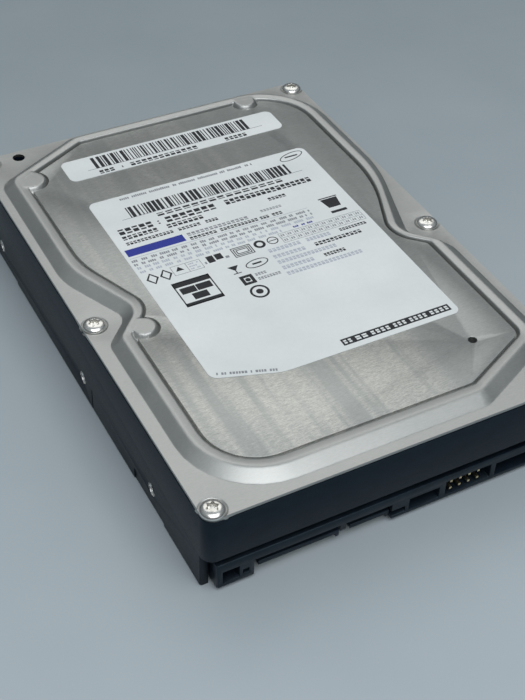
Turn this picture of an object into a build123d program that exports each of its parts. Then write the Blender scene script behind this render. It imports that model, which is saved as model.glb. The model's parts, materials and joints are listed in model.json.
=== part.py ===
from build123d import *
import os
from math import cos, radians, sin

# A 3.5 inch hard disk drive, in millimetres. The origin is the centre of its footprint, +Z is up,
# X runs across the drive and the connectors are at the -Y end.

# ---- Driving dimensions ----
WIDTH = 101.6
LENGTH = 147.0
HEIGHT = 26.1
HALF_W = WIDTH / 2
HALF_L = LENGTH / 2

# Base casting
BASE_TOP = 23.2
BASE_CORNER_R = 3.0
EDGE_CHAMFER = 0.6
WELL_FLOOR = 9.0
POCKET_CEILING = 5.6
DECK_BOTTOM = 2.0
RAIL_INNER = 44.0
END_SETBACK = 3.2
END_FACE_BOTTOM = 10.5
NOTCH_DEPTH = 11.0
NOTCH_CEILING = 9.4
RAISED_FLOOR = 10.9
RAISED_FLOOR_Y = -60.5

# Cover: a pressed sheet whose flange sits low, with a ridge round a sunk middle
SHEET = 0.8
FLANGE_TOP = 24.2
FLANGE_BOTTOM = FLANGE_TOP - SHEET
TRAY_TOP = 24.5
TRAY_BOTTOM = TRAY_TOP - SHEET
PLATE_TOP = 25.3
LABEL_T = 0.1
SEAT_R = 3.4
SEAT_DEPTH = 0.25

# Form factor holes: 6-32 screws
SIDE_HOLE_Z = 6.35
SIDE_HOLES_FROM_END = (28.5, 70.11, 130.1)
BOTTOM_HOLE_X = 95.25 / 2
BOTTOM_HOLES_FROM_END = (41.28, 85.73)
MOUNT_HOLE_R = 1.75
SIDE_HOLE_DEPTH = 5.0
BOTTOM_HOLE_DEPTH = 6.0

# Disc pack
SPINDLE = (0.0, 22.0)
WELL_R = 48.3
PLATTER_R = 47.5
PLATTER_BORE_R = 12.5
PLATTER_T = 1.27
PLATTER_COUNT = 3
SPACER_T = 2.4
FIRST_PLATTER_Z = 11.4
PLATTER_PITCH = PLATTER_T + SPACER_T
PACK_TOP = FIRST_PLATTER_Z + PLATTER_COUNT * PLATTER_T + (PLATTER_COUNT - 1) * SPACER_T
HUB_BOTTOM = 10.0
HUB_FLANGE_R = 16.0
CLAMP_TOP = PACK_TOP + 1.2
CLAMP_SCREW_CIRCLE = 8.0
TEETH = 9

# Head positioner: angles are measured about the pivot from +X
PIVOT = (24.0, -33.0)
PARK_ANGLE = 95.0
SWING = 29.5
HEAD_REACH = 51.0
HUB_R = 8.6
ARM_T = 1.0
BLOCK_BOTTOM = 9.7
COIL_ANGLE = PARK_ANGLE + 180
COIL_BOTTOM = 15.2
COIL_TOP = 17.6
COIL_SPREAD = 17.5
PRONG_SPREAD = 21.5
FAN_ANGLE = COIL_ANGLE - SWING / 2
YOKE_SPREAD = 35.3
YOKE_IN_R = 11.5
YOKE_OUT_R = 33.0
LOWER_YOKE = (11.0, 13.2)
LOWER_MAGNET = (13.2, 14.8)
UPPER_MAGNET = (18.0, 19.6)
UPPER_YOKE = (19.6, 21.8)
POST_ANGLES = (231, 256, 281)
POST_CIRCLE = 31.4
POST_R = 1.4
TONGUE_R = 29.6
LATCH_PIVOT = (40.8, -52.0)
LATCH_SWING = 14.0

# Circuit board
BOARD_BOTTOM = 2.2
BOARD_TOP = 3.2
BOARD_HALF_W = 43.5
BOARD_FRONT = -63.2
BOARD_SCREWS = ((-40, -56), (40, -56), (-40, 6), (39.5, 46), (17, -9))
MOTOR_GAP_R = 18.0

# Connector block
BLOCK_BOTTOM_Z = 1.1
BLOCK_TOP_Z = 8.5
BLOCK_HALF_W = 48.1
BLOCK_FRONT = -73.4
CONTACT_PITCH = 1.27
TONGUE_Z = (2.75, 3.98)
POWER_TONGUE = (-37.6, -17.0)
DATA_TONGUE = (-14.2, -3.8)
TONGUE_KEY = 0.9
DIVIDER = (-16.2, -14.6)
DIVIDER_SETBACK = 1.5
JUMPER_X = (13.1, 15.64, 18.18, 20.72)
JUMPER_Z = (3.2, 5.5)

COVER_SCREWS = (
    (-47.8, -70.6), (47.8, -70.6), (-47.6, -5.8), (47.6, -5.8), (-47.9, 70.1), (47.9, 70.1)
)
DATUM_HOLE = (-39.3, 70.1)
BREATHER = (30.8, -51.2)

# Corners of the ridge's outline: x, y and rounding at its outer foot, then at the sunk plate's edge.
RIDGE_CORNERS = (
    (-47.5, -70.8, 20.0, -40.7, -63.5, 13.0),
    (22.3, -70.8, 8.0, 22.4, -63.5, 1.5),
    (48.3, -58.3, 9.0, 42.1, -54.0, 3.0),
    (48.3, -17.0, 5.0, 42.1, -14.3, 2.0),
    (40.6, -7.3, 4.0, 34.4, -6.9, 9.0),
    (49.8, 21.8, 50.0, 44.0, 15.8, 50.0),
    (49.8, 73.0, 20.0, 44.0, 67.6, 15.0),
    (-22.7, 73.0, 8.0, -21.6, 67.6, 1.5),
    (-48.5, 59.2, 6.0, -41.8, 56.9, 1.5),
    (-48.7, 12.7, 20.0, -41.8, 16.6, 30.0),
    (-40.0, -6.4, 4.0, -32.8, -5.8, 7.5),
    (-47.4, -14.2, 5.0, -40.6, -14.2, 1.5),
)
# Pads of the ridge that reach into the plate: x, y, radius
RIDGE_PADS = ((-37.8, -12.9, 3.7), (-40.7, 56.0, 4.4), (30.4, 67.6, 3.7))
SHOULDER = 0.5
STEP_TOP = 0.86
STEP_FOOT = 0.95
PAD_GAP = 0.35
INSIDE_GASKET = 0.16


# ---- Shapes used throughout ----
def cylinder(x, y, z0, z1, r):
    return Pos(x, y, (z0 + z1) / 2) * Cylinder(r, z1 - z0)


def tube(x, y, z0, z1, outer, inner):
    return cylinder(x, y, z0, z1, outer) - cylinder(x, y, z0 - 1, z1 + 1, inner)


def block(x0, x1, y0, y1, z0, z1):
    return Pos((x0 + x1) / 2, (y0 + y1) / 2, (z0 + z1) / 2) * Box(x1 - x0, y1 - y0, z1 - z0)


def side_hole(x, y, z, depth, r):
    """A round hole along X, from the side face at x inwards."""
    inward = -1 if x > 0 else 1
    middle = x + inward * (depth / 2 - 0.5)
    return Pos(middle, y, z) * Rot(0, 90, 0) * Cylinder(r, depth + 1)


def face(corners, z=0.0):
    """A flat face at height z, from corners of x, y and rounding."""
    points = [(x, y, z) for x, y, _ in corners]
    return make_face(FilletPolyline(*points, radius=[r for _, _, r in corners], close=True))


def prism(corners, z0, z1):
    return extrude(face(corners, z0), z1 - z0, dir=(0, 0, 1))


def plate(x0, x1, y0, y1, z0, z1, r):
    return prism(((x0, y0, r), (x1, y0, r), (x1, y1, r), (x0, y1, r)), z0, z1)


def polar(angle, r, centre=PIVOT):
    return centre[0] + r * cos(radians(angle)), centre[1] + r * sin(radians(angle))


def fan(angle, spread, r0, r1, z0, z1):
    """A flat sector of a ring about the positioner's pivot, spread degrees to each side of angle."""
    ring = tube(*PIVOT, z0, z1, r1, r0)
    far = 3 * r1
    wedge = Polyline(PIVOT, polar(angle - spread, far), polar(angle + spread, far), PIVOT)
    return ring & extrude(Pos(0, 0, z0) * make_face(wedge), z1 - z0, dir=(0, 0, 1))


def group(shapes):
    return Compound(children=[solid for shape in shapes for solid in shape.solids()])


def save(name, shape):
    export_step(shape, f"parts/{name}.step")


def ridge_outline(t):
    """The ridge's outline from its outer foot, t = 0, to the sunk plate's edge, t = 1."""
    return [
        (fx + (px - fx) * t, fy + (py - fy) * t, fr + (pr - fr) * t)
        for fx, fy, fr, px, py, pr in RIDGE_CORNERS
    ]


def slope(t0, z0, t1, z1):
    """A solid whose wall runs from outline t0 at z0 to outline t1 at z1."""
    return loft([face(ridge_outline(t0), z0), face(ridge_outline(t1), z1)], ruled=True)


def from_end(distance):
    return -HALF_L + distance


# ---- Base casting ----
def board_corners(margin):
    side = BOARD_HALF_W + margin
    return (
        (-side, BOARD_FRONT - margin, 1), (side, BOARD_FRONT - margin, 1), (side, 50 + margin, 2),
        (11 - margin, 50 + margin, 2), (11 - margin, 10 + margin, 0.5), (-side, 10 + margin, 2),
    )


def underside_cuts():
    """Room below the deck for the connector block, the circuit board and the motor."""
    sx, sy = SPINDLE
    cuts = [block(-HALF_W - 1, HALF_W + 1, -HALF_L - 1, -HALF_L + END_SETBACK, -1, END_FACE_BOTTOM)]
    cuts.append(block(-48.7, 48.7, -HALF_L, -HALF_L + NOTCH_DEPTH, -1, NOTCH_CEILING))
    boss = cylinder(sx, sy, -2, POCKET_CEILING + 1, MOTOR_GAP_R - 0.5)
    cuts.append(prism(board_corners(0.5), -1, POCKET_CEILING) - boss)
    cuts.append(plate(-RAIL_INNER, RAIL_INNER, 8, 70, -1, DECK_BOTTOM, 4))
    rib_free = tube(sx, sy, -1, POCKET_CEILING, 43.0, 20.5)
    for angle in (75, 105, 135, 165, 195):
        rib_free -= Pos(sx, sy, 0) * Rot(0, 0, angle) * block(18, 46, -1.2, 1.2, -2, 7)
    cuts.append(rib_free)
    cuts.append(cylinder(sx, sy, -1, POCKET_CEILING, 16.6))
    cuts.append(cylinder(sx, sy, -1, WELL_FLOOR + 1, 14.1))
    cuts.append(block(1, 9, 0, 8, -1, 4.3))
    return cuts


def interior_cuts():
    """The disc well, the positioner's bay and the filter's pocket, open at the top."""
    sx, sy = SPINDLE
    top = BASE_TOP + 1
    well = cylinder(sx, sy, WELL_FLOOR, top, WELL_R)
    right = plate(-6, 45.2, RAISED_FLOOR_Y, -12, WELL_FLOOR, top, 3)
    neck = prism(ridge_outline(INSIDE_GASKET), WELL_FLOOR, top) & block(20, 46, -30, 5, WELL_FLOOR, top)
    back = plate(-40, 45.2, -68, -56, RAISED_FLOOR, top, 5)
    shroud = cylinder(sx, sy, WELL_FLOOR - 1, top + 1, WELL_R + 2)
    left = plate(-40, -4, RAISED_FLOOR_Y, -22, WELL_FLOOR, top, 3) - shroud
    filter_slot = Pos(sx, sy, 0) * Rot(0, 0, 135) * block(46, 52.5, -6.5, 6.5, 9.5, top)
    header_slot = block(-21.2, -6.8, -48.4, -43.6, 0, WELL_FLOOR + 1)
    return [well, right, neck, back, left, filter_slot, header_slot]


def wall_reliefs():
    """Shallow steps in the side walls, where the casting is set back round its mounting pads."""
    depth = 0.35
    cuts = []
    for side in (-1, 1):
        inner, outer = sorted((side * (HALF_W - depth), side * (HALF_W + 1)))
        cuts.append(block(inner, outer, -51.6, -34.8, -1, 3.9))
        cuts.append(block(inner, outer, 45.7, 64.0, -1, 3.4))
        cuts.append(block(inner, outer, -9.4, -8.9, -1, 6.9))
    return cuts


def base_casting():
    body = plate(-HALF_W, HALF_W, -HALF_L, HALF_L, 0, BASE_TOP, BASE_CORNER_R)
    body = chamfer(body.faces().sort_by(Axis.Z)[0].edges(), EDGE_CHAMFER)
    for cut in underside_cuts() + interior_cuts() + wall_reliefs():
        body -= cut
    for x, y in BOARD_SCREWS:
        body += cylinder(x, y, BOARD_TOP, POCKET_CEILING + 0.5, 3.0)
        body -= cylinder(x, y, BOARD_TOP - 1, POCKET_CEILING + 2, 1.05)
    for angle in POST_ANGLES:
        body += cylinder(*polar(angle, POST_CIRCLE - 4), WELL_FLOOR - 0.5, LOWER_YOKE[0], 2.6)
    for side in (-1, 1):
        for distance in SIDE_HOLES_FROM_END:
            x, y = side * HALF_W, from_end(distance)
            body -= side_hole(x, y, SIDE_HOLE_Z, SIDE_HOLE_DEPTH, MOUNT_HOLE_R)
        for distance in BOTTOM_HOLES_FROM_END:
            x, y = side * BOTTOM_HOLE_X, from_end(distance)
            body -= cylinder(x, y, -1, BOTTOM_HOLE_DEPTH, MOUNT_HOLE_R)
    for x, y in COVER_SCREWS:
        body -= cylinder(x, y, 13.5, BASE_TOP + 1, 1.3)
    body -= cylinder(*DATUM_HOLE, 15, BASE_TOP + 1, 1.7)
    body -= cylinder(*PIVOT, POCKET_CEILING + 1, WELL_FLOOR + 1, 1.6)
    body -= cylinder(*LATCH_PIVOT, WELL_FLOOR - 2, WELL_FLOOR + 1, 1.0)
    return body


# ---- Cover ----
def top_cover():
    body = plate(-HALF_W, HALF_W, -HALF_L, HALF_L, FLANGE_BOTTOM, FLANGE_TOP, BASE_CORNER_R)
    body += slope(0, FLANGE_TOP, SHOULDER, HEIGHT)
    pads = [cylinder(x, y, FLANGE_BOTTOM, HEIGHT + 2, r) for x, y, r in RIDGE_PADS]
    sunk = slope(STEP_FOOT, TRAY_TOP, STEP_TOP, HEIGHT)
    sunk += prism(ridge_outline(STEP_TOP), HEIGHT, HEIGHT + 1)
    for pad in pads:
        sunk -= pad
    body -= sunk
    channel = slope(0.06, FLANGE_BOTTOM, SHOULDER + 0.03, HEIGHT - SHEET)
    channel -= slope(STEP_TOP - 0.08, FLANGE_BOTTOM, STEP_TOP - 0.12, HEIGHT - SHEET)
    body -= channel
    body -= prism(ridge_outline(STEP_TOP + 0.06), FLANGE_BOTTOM - 1, TRAY_BOTTOM)
    for x, y in COVER_SCREWS:
        body -= cylinder(x, y, FLANGE_TOP - SEAT_DEPTH, HEIGHT, SEAT_R)
        body -= cylinder(x, y, 0, HEIGHT, 1.5)
    body -= cylinder(*DATUM_HOLE, 0, HEIGHT, 1.7)
    body -= cylinder(*BREATHER, 0, HEIGHT, 1.1)
    return body


def damper_plate():
    body = prism(ridge_outline(1.0), TRAY_TOP, PLATE_TOP)
    for x, y, r in RIDGE_PADS:
        body -= cylinder(x, y, 0, HEIGHT, r + PAD_GAP)
    return body - cylinder(*BREATHER, 0, HEIGHT, 1.1)


def cover_gasket():
    rim = plate(-HALF_W + 0.5, HALF_W - 0.5, -HALF_L + 0.5, HALF_L - 0.5, BASE_TOP, FLANGE_BOTTOM, 3)
    body = rim & prism(ridge_outline(-0.18), BASE_TOP, FLANGE_BOTTOM)
    body -= prism(ridge_outline(0.05), BASE_TOP - 1, FLANGE_BOTTOM + 1)
    for x, y in COVER_SCREWS + (DATUM_HOLE,):
        body -= cylinder(x, y, BASE_TOP - 1, FLANGE_BOTTOM + 1, 1.8)
    return body


def star_recess(x, y, z0, z1):
    """A six-lobed driver recess."""
    recess = cylinder(x, y, z0, z1, 0.95)
    for lobe in range(6):
        recess += cylinder(*polar(60 * lobe, 0.95, (x, y)), z0, z1, 0.32)
    return recess


def star_screw(x, y, seat, head_r, head_h, shank_r, length):
    """A pan head screw that goes down from its seat."""
    head = cylinder(x, y, seat, seat + head_h, head_r)
    head = fillet(head.edges().sort_by(Axis.Z)[-1], 0.45 * head_h)
    screw = head + cylinder(x, y, seat - length, seat, shank_r)
    return screw - star_recess(x, y, seat + 0.3, seat + head_h + 1)


def cover_screws():
    seat = FLANGE_TOP - SEAT_DEPTH
    return group(star_screw(x, y, seat, 2.9, 1.3, 1.25, 9.5) for x, y in COVER_SCREWS)


def main_label():
    corners = (
        (-31.2, -36.0, 2.5), (-15.0, -41.3, 12), (34.3, -41.3, 2), (34.3, 39.2, 2), (-31.2, 39.2, 2)
    )
    return prism(corners, PLATE_TOP, PLATE_TOP + LABEL_T)


def barcode_label():
    return plate(-30.9, 34.8, 50.6, 60.5, PLATE_TOP, PLATE_TOP + LABEL_T, 2)


def breather_filter():
    return cylinder(*BREATHER, TRAY_BOTTOM - 1.2, TRAY_BOTTOM, 5.0)


def recirculation_filter():
    return Pos(*SPINDLE, 0) * Rot(0, 0, 135) * block(48.6, 51.6, -6.2, 6.2, 9.5, 21.5)


# ---- Spindle motor ----
def motor_flange():
    sx, sy = SPINDLE
    body = cylinder(sx, sy, 4.0, POCKET_CEILING, 16.4) + cylinder(sx, sy, POCKET_CEILING, 7.4, 14.0)
    body += cylinder(sx, sy, 7.4, 14.8, 5.0)
    return body - cylinder(sx, sy, 5.0, 16, 4.5)


def motor_sleeve():
    return tube(*SPINDLE, 5.0, 17.0, 4.5, 2.03)


def stator_tooth(index, width, r0, r1, z0, z1):
    turn = Pos(*SPINDLE, 0) * Rot(0, 0, index * 360 / TEETH)
    return turn * block(r0, r1, -width / 2, width / 2, z0, z1)


def stator_core():
    body = tube(*SPINDLE, 11.4, 14.4, 6.6, 5.02)
    for index in range(TEETH):
        body += stator_tooth(index, 1.4, 6.3, 9.1, 11.4, 14.4)
        body += stator_tooth(index, 3.6, 8.6, 9.1, 11.4, 14.4)
    return body


def stator_coils():
    coils = []
    for index in range(TEETH):
        winding = stator_tooth(index, 2.8, 6.75, 8.5, 10.7, 15.1)
        coils.append(winding - stator_tooth(index, 1.46, 6.0, 9.0, 11.35, 14.45))
    return group(coils)


def motor_contact_strip():
    return plate(2, 8, -1, 14, 3.55, 3.85, 1)


def spindle_hub():
    sx, sy = SPINDLE
    body = cylinder(sx, sy, HUB_BOTTOM, FIRST_PLATTER_Z, HUB_FLANGE_R)
    body += cylinder(sx, sy, HUB_BOTTOM, PACK_TOP - 0.1, PLATTER_BORE_R - 0.05)
    body += cylinder(sx, sy, PACK_TOP - 0.1, CLAMP_TOP, 4.0)
    body -= cylinder(sx, sy, HUB_BOTTOM - 1, 17.4, 11.0)
    body -= cylinder(sx, sy, 17, CLAMP_TOP - 0.6, 2.0)
    for index in range(6):
        body -= cylinder(*polar(60 * index, CLAMP_SCREW_CIRCLE, SPINDLE), 17.9, PACK_TOP, 1.05)
    return body


def spindle_shaft():
    return cylinder(*SPINDLE, 5.3, CLAMP_TOP - 0.65, 1.995)


def rotor_magnet():
    return tube(*SPINDLE, HUB_BOTTOM + 0.4, 16.4, 10.98, 9.6)


def platter(index):
    z = FIRST_PLATTER_Z + index * PLATTER_PITCH
    return tube(*SPINDLE, z, z + PLATTER_T, PLATTER_R, PLATTER_BORE_R)


def spacer_rings():
    rings = []
    for index in range(PLATTER_COUNT - 1):
        z = FIRST_PLATTER_Z + index * PLATTER_PITCH + PLATTER_T
        rings.append(tube(*SPINDLE, z, z + SPACER_T, HUB_FLANGE_R, PLATTER_BORE_R))
    return group(rings)


def disc_clamp():
    body = tube(*SPINDLE, PACK_TOP, CLAMP_TOP, HUB_FLANGE_R, 4.05)
    for index in range(6):
        body -= cylinder(*polar(60 * index, CLAMP_SCREW_CIRCLE, SPINDLE), 0, HEIGHT, 1.1)
    return body


def clamp_screws():
    places = [polar(60 * index, CLAMP_SCREW_CIRCLE, SPINDLE) for index in range(6)]
    return group(star_screw(x, y, CLAMP_TOP, 1.8, 0.9, 1.0, 3.0) for x, y in places)


# ---- Head positioner ----
def arm_heights():
    """Bottom of each arm: one below the pack, one in each gap and one above it."""
    first = FIRST_PLATTER_Z - (SPACER_T + ARM_T) / 2
    return [first + index * PLATTER_PITCH for index in range(PLATTER_COUNT + 1)]


def along_arm(shape):
    """Places a shape that is drawn along +X from the pivot at the parked angle."""
    return Pos(*PIVOT, 0) * Rot(0, 0, PARK_ANGLE) * shape


def arm_block():
    top = arm_heights()[-1] + ARM_T
    body = cylinder(*PIVOT, BLOCK_BOTTOM, top, HUB_R)
    body += block(14.6, 19, -37, -29, 11, 20)
    for z in arm_heights():
        right = ((4, -7.4, 0.5), (16, -4.6, 4), (37, -2.2, 1.5))
        left = tuple((x, -y, r) for x, y, r in reversed(right))
        arm = prism(right + left, z, z + ARM_T)
        window = prism(((13, -2.8, 1), (28, -1.2, 0.8), (28, 1.2, 0.8), (13, 2.8, 1)), z - 1, z + 2)
        body += along_arm(arm - window)
    for side in (-1, 1):
        angle = COIL_ANGLE + side * (PRONG_SPREAD + COIL_SPREAD + 0.4) / 2
        spread = (PRONG_SPREAD - COIL_SPREAD - 0.4) / 2
        body += fan(angle, spread, HUB_R - 2, 28.0, COIL_BOTTOM + 0.2, COIL_TOP - 0.2)
    body += fan(COIL_ANGLE + 20.7, 0.8, 27, TONGUE_R, COIL_BOTTOM + 0.2, COIL_TOP - 0.2)
    body += fan(COIL_ANGLE, PRONG_SPREAD, HUB_R - 2, 13.5, COIL_BOTTOM + 0.2, COIL_TOP - 0.2)
    return body - cylinder(*PIVOT, 0, HEIGHT, 5.6)


def pivot_bearing():
    return tube(*PIVOT, BLOCK_BOTTOM, arm_heights()[-1] + ARM_T, 5.58, 3.05)


def pivot_shaft():
    body = cylinder(*PIVOT, WELL_FLOOR, WELL_FLOOR + 0.35, 4.6)
    body += cylinder(*PIVOT, WELL_FLOOR, 22.3, 3.0)
    return body + cylinder(*PIVOT, POCKET_CEILING + 1.2, WELL_FLOOR, 1.55)


def voice_coil():
    body = fan(COIL_ANGLE, COIL_SPREAD, 13.8, 28.0, COIL_BOTTOM, COIL_TOP)
    return body - fan(COIL_ANGLE, 9.5, 17.8, 24.0, COIL_BOTTOM - 1, COIL_TOP + 1)


def head_sides():
    """Each head's arm face height and the way it looks: +1 up, -1 down."""
    heights = arm_heights()
    upward = [(z + ARM_T, 1) for z in heights[:-1]]
    downward = [(z, -1) for z in heights[1:]]
    return upward + downward


def head_suspensions():
    blades = []
    for z, way in head_sides():
        corners = ((30, -2.2, 0.5), (38, -2.0, 0.5), (51.5, -0.8, 0.3))
        corners += ((51.5, 0.8, 0.3), (38, 2.0, 0.5), (30, 2.2, 0.5))
        low, high = sorted((z, z + way * 0.15))
        blades.append(along_arm(prism(corners, low, high)))
    return group(blades)


def head_sliders():
    sliders = []
    for z, way in head_sides():
        low, high = sorted((z + way * 0.15, z + way * 0.45))
        sliders.append(along_arm(block(HEAD_REACH - 1.2, HEAD_REACH, -0.5, 0.5, low, high)))
    return group(sliders)


def preamp_chip():
    return block(13.55, 14.25, -34.5, -31.5, 14, 17)


def flex_cable():
    route = FilletPolyline(
        (14.4, -36.6), (14.4, -29.2), (7.0, -29.2), (-2.0, -36.0), (-9.0, -42.0), (-9.0, -45.0),
        radius=(1.5, 6.0, 4.0, 3.0),
    )
    strip = trace(Pos(0, 0, 11.5) * route, 0.18)
    return extrude(strip, 8.0, dir=(0, 0, 1))


# ---- Voice coil motor, stops and latch ----
def lower_yoke():
    return fan(FAN_ANGLE, YOKE_SPREAD, YOKE_IN_R, YOKE_OUT_R, *LOWER_YOKE)


def upper_yoke():
    body = fan(FAN_ANGLE, YOKE_SPREAD, YOKE_IN_R, YOKE_OUT_R, *UPPER_YOKE)
    for angle in POST_ANGLES:
        body -= cylinder(*polar(angle, POST_CIRCLE), 0, HEIGHT, 0.9)
    return body


def magnet(heights):
    """Two poles side by side under one plating."""
    return fan(FAN_ANGLE, YOKE_SPREAD - 1.5, 14.5, 28.5, *heights)


def yoke_posts():
    posts = []
    for angle in POST_ANGLES:
        x, y = polar(angle, POST_CIRCLE)
        post = cylinder(x, y, LOWER_YOKE[1], UPPER_YOKE[0], POST_R)
        posts.append(post - cylinder(x, y, UPPER_YOKE[0] - 3.5, HEIGHT, 0.85))
    return group(posts)


def yoke_screws():
    places = [polar(angle, POST_CIRCLE) for angle in POST_ANGLES]
    return group(star_screw(x, y, UPPER_YOKE[1], 1.6, 0.9, 0.8, 5.0) for x, y in places)


def crash_stop(angle):
    x, y = polar(angle, 24.0)
    return cylinder(x, y, WELL_FLOOR, 18.0, 1.5)


def latch_pin():
    return cylinder(*LATCH_PIVOT, WELL_FLOOR - 1.8, 18.0, 0.98)


def latch_lever():
    px, py = LATCH_PIVOT
    z0, z1 = COIL_BOTTOM + 0.2, COIL_TOP - 0.2
    lever = cylinder(px, py, z0, z1, 2.4)
    lever += block(px - 1.1, px + 0.9, -62.8, py, z0, z1)
    lever += block(34.2, px + 0.9, -62.8, -61.2, z0, z1)
    lever += block(34.2, 35.2, -62.0, -59.4, z0, z1)
    lever -= cylinder(px, py, 0, HEIGHT, 1.03)
    return Pos(px, py, 0) * Rot(0, 0, LATCH_SWING) * Pos(-px, -py, 0) * lever


def flex_bracket():
    body = plate(-22, -9.2, -49, -40, WELL_FLOOR, 19, 0.8)
    return body - block(-21.3, -9.9, -46.5, -45.2, 12, 20)


def header_connector():
    return block(-21, -7, -48.2, -43.8, BOARD_TOP, WELL_FLOOR)


# ---- Circuit board ----
def circuit_board():
    body = prism(board_corners(0), BOARD_BOTTOM, BOARD_TOP)
    body -= cylinder(*SPINDLE, 0, HEIGHT, MOTOR_GAP_R)
    for x, y in BOARD_SCREWS:
        body -= cylinder(x, y, 0, HEIGHT, 1.2)
    return body


def board_insulator():
    body = plate(-37, 33, -54, -13, BOARD_TOP, 3.9, 2)
    return body - plate(-22.5, -5.5, -50, -42, 0, 9, 1)


def board_screws():
    screws = []
    for x, y in BOARD_SCREWS:
        screw = Pos(x, y, BOARD_BOTTOM) * Rot(180, 0, 0) * star_screw(0, 0, 0, 2.4, 1.0, 1.0, 4.6)
        screws.append(screw)
    return group(screws)


def chip(x, y, size_x, size_y, height):
    """A package on the board's lower face, with its leads or pads hidden under it."""
    bottom = BOARD_BOTTOM - height
    body = block(x - size_x / 2, x + size_x / 2, y - size_y / 2, y + size_y / 2, bottom, BOARD_BOTTOM)
    return chamfer(body.faces().sort_by(Axis.Z)[0].edges(), 0.2)


def board_passives(places, size_x, size_y, height):
    return group(chip(x, y, size_x, size_y, height) for x, y in places)


# ---- Connector block ----
def connector_block():
    body = block(-BLOCK_HALF_W, BLOCK_HALF_W, BLOCK_FRONT, BOARD_FRONT - 0.1, BLOCK_BOTTOM_Z, BLOCK_TOP_Z)
    body = chamfer(body.edges().filter_by(Axis.Z), 0.3)
    front = BLOCK_FRONT - 1
    cuts = [
        block(-46.6, -42.5, front, -67.5, 2.1, 5.8),
        block(-41.7, -40.1, front, -70, 2.7, 4.1),
        block(-38.9, DIVIDER[0], front, -65.2, 0, 5.9),
        block(DIVIDER[1], -3.4, front, -65.2, 0, 5.9),
        block(*DIVIDER, front, BLOCK_FRONT + DIVIDER_SETBACK, 0, 5.9),
        block(*DIVIDER, front, -65.2, 0, 2.0),
        block(-3.5, 0.3, front, -68, 2.0, 3.7),
        block(1.3, 9.6, front, -67.5, 2.0, 5.5),
        block(11.3, 24.0, front, -66.5, 2.1, 6.4),
        block(25.4, 46.0, front, -66.5, 2.1, 6.1),
    ]
    for cut in cuts:
        body -= cut
    for x0, x1 in (POWER_TONGUE, DATA_TONGUE):
        body += block(x0, x1, BLOCK_FRONT + 0.6, -65, *TONGUE_Z)
        body += block(x1 - TONGUE_KEY, x1, BLOCK_FRONT + 0.6, -65, TONGUE_Z[0] - TONGUE_KEY, TONGUE_Z[0])
    for index in range(4):
        x = 27.0 + index * 5.08
        body += block(x, x + 0.9, -69, -66, 2.1, 6.1)
    return body + block(-39, 25, BOARD_FRONT - 0.2, -59.6, BOARD_TOP, 5.4)


def sata_contacts():
    """15 power and 7 signal contacts under the tongues, each with a tail on the board."""
    contacts = []
    for (x0, x1), count in ((POWER_TONGUE, 15), (DATA_TONGUE, 7)):
        middle = (x0 + x1) / 2
        for index in range(count):
            x = middle + (index - (count - 1) / 2) * CONTACT_PITCH
            z = TONGUE_Z[0]
            contacts.append(block(x - 0.4, x + 0.4, BLOCK_FRONT + 1.1, -65.2, z - 0.15, z))
            contacts.append(block(x - 0.2, x + 0.2, -59.6, -58.2, BOARD_TOP, BOARD_TOP + 0.25))
    return group(contacts)


def jumper_pins():
    pins = [block(x - 0.32, x + 0.32, BLOCK_FRONT + 0.5, -66.5, z - 0.32, z + 0.32)
            for x in JUMPER_X for z in JUMPER_Z]
    return group(pins)


# ---- Every node ----
NODES = {
    "base_casting": base_casting,
    "top_cover": top_cover,
    "damper_plate": damper_plate,
    "cover_gasket": cover_gasket,
    "cover_screws": cover_screws,
    "main_label": main_label,
    "barcode_label": barcode_label,
    "breather_filter": breather_filter,
    "recirculation_filter": recirculation_filter,
    "motor_flange": motor_flange,
    "motor_sleeve": motor_sleeve,
    "stator_core": stator_core,
    "stator_coils": stator_coils,
    "motor_contact_strip": motor_contact_strip,
    "spindle_hub": spindle_hub,
    "spindle_shaft": spindle_shaft,
    "rotor_magnet": rotor_magnet,
    "spacer_rings": spacer_rings,
    "disc_clamp": disc_clamp,
    "clamp_screws": clamp_screws,
    "arm_block": arm_block,
    "pivot_bearing": pivot_bearing,
    "pivot_shaft": pivot_shaft,
    "voice_coil": voice_coil,
    "head_suspensions": head_suspensions,
    "head_sliders": head_sliders,
    "preamp_chip": preamp_chip,
    "flex_cable": flex_cable,
    "flex_bracket": flex_bracket,
    "header_connector": header_connector,
    "lower_yoke": lower_yoke,
    "upper_yoke": upper_yoke,
    "lower_magnet": lambda: magnet(LOWER_MAGNET),
    "upper_magnet": lambda: magnet(UPPER_MAGNET),
    "yoke_posts": yoke_posts,
    "yoke_screws": yoke_screws,
    "inner_crash_stop": lambda: crash_stop(300.8),
    "outer_crash_stop": lambda: crash_stop(219.7),
    "latch_pin": latch_pin,
    "latch_lever": latch_lever,
    "circuit_board": circuit_board,
    "board_insulator": board_insulator,
    "board_screws": board_screws,
    "controller_chip": lambda: chip(-6, -30, 20, 20, 1.4),
    "memory_chip": lambda: chip(-29, -30, 10.2, 22.2, 1.0),
    "motor_driver_chip": lambda: chip(28, -22, 10, 10, 0.9),
    "flash_chip": lambda: chip(-6, -8, 5.2, 6.0, 1.2),
    "clock_crystal": lambda: chip(-25, -10, 7.0, 5.0, 1.1),
    "board_capacitors": lambda: board_passives(
        [(14 + 4 * i, -42) for i in range(5)] + [(-38, -48 + 6 * i) for i in range(6)], 2.0, 1.25, 1.0),
    "board_inductors": lambda: board_passives([(18, -52), (28, -52), (36, -34)], 5.0, 5.0, 1.5),
    "surge_diodes": lambda: board_passives([(-28, -55), (-20, -55), (-12, -55)], 4.3, 2.6, 1.3),
    "connector_block": connector_block,
    "sata_contacts": sata_contacts,
    "jumper_pins": jumper_pins,
}

os.makedirs("parts", exist_ok=True)
for node, make in NODES.items():
    save(node, make())
for number in range(PLATTER_COUNT):
    save(f"platter_{number + 1}", platter(number))
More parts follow.
